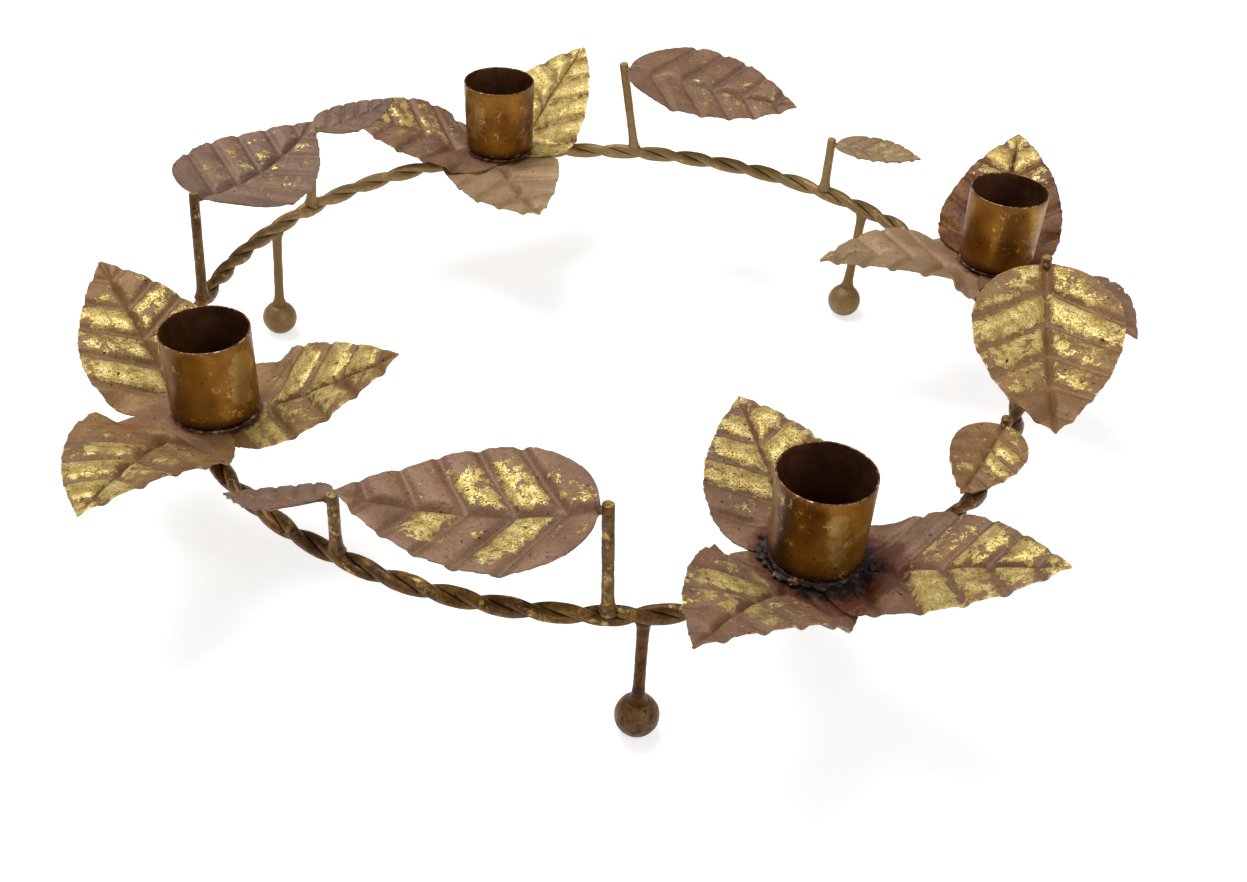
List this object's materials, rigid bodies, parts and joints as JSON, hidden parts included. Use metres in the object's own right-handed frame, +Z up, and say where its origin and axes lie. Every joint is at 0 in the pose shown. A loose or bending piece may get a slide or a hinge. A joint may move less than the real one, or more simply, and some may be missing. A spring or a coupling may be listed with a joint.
{
  "type": "candle ring",
  "caption": "Low ring of two twisted rods on ball feet that holds candles in cups on metal leaves, with more leaves on short stems.",
  "frame": {"origin": "on the table under the middle of the whole spread of leaves, where the balls rest at z = 0", "axes": "+Z up out of the candle cups; +X to the right and +Y away in the picture's view"},
  "size_m": [0.3124, 0.3163, 0.084],
  "materials": {
    "ring_strands": "dark olive-brown patina, worn golden along the twist",
    "foot_rods": "brown patina with gold flecks",
    "foot_balls": "khaki-brown patina with dark spots",
    "candle_cups": "amber and dark brown heat-toned lacquer",
    "cup_leaves": "mauve-brown patina with worn gold leaf between the veins",
    "large_leaves": "mauve-brown patina with worn gold leaf between the veins",
    "small_leaves": "mauve-brown patina with a little worn gold leaf",
    "leaf_stems": "brown patina with gold flecks"
  },
  "bodies": {
    "root": {"ring_strand_1": "ring_strands", "ring_strand_2": "ring_strands", "leg_rod_1": "foot_rods", "leg_rod_2": "foot_rods", "leg_rod_3": "foot_rods", "foot_ball_1": "foot_balls", "foot_ball_2": "foot_balls", "foot_ball_3": "foot_balls", "candle_cup_1": "candle_cups", "candle_cup_2": "candle_cups", "candle_cup_3": "candle_cups", "candle_cup_4": "candle_cups", "cup_leaf_1_1": "cup_leaves", "cup_leaf_1_2": "cup_leaves", "cup_leaf_1_3": "cup_leaves", "cup_leaf_2_1": "cup_leaves", "cup_leaf_2_2": "cup_leaves", "cup_leaf_2_3": "cup_leaves", "cup_leaf_3_1": "cup_leaves", "cup_leaf_3_2": "cup_leaves", "cup_leaf_3_3": "cup_leaves", "cup_leaf_4_1": "cup_leaves", "cup_leaf_4_2": "cup_leaves", "cup_leaf_4_3": "cup_leaves", "large_leaf_stem_1": "leaf_stems", "large_leaf_stem_2": "leaf_stems", "large_leaf_stem_3": "leaf_stems", "large_leaf_stem_4": "leaf_stems", "large_leaf_1": "large_leaves", "large_leaf_2": "large_leaves", "large_leaf_3": "large_leaves", "large_leaf_4": "large_leaves", "small_leaf_stem_1": "leaf_stems", "small_leaf_stem_2": "leaf_stems", "small_leaf_stem_3": "leaf_stems", "small_leaf_stem_4": "leaf_stems", "small_leaf_1": "small_leaves", "small_leaf_2": "small_leaves", "small_leaf_3": "small_leaves", "small_leaf_4": "small_leaves"}
  },
  "joints": []
}
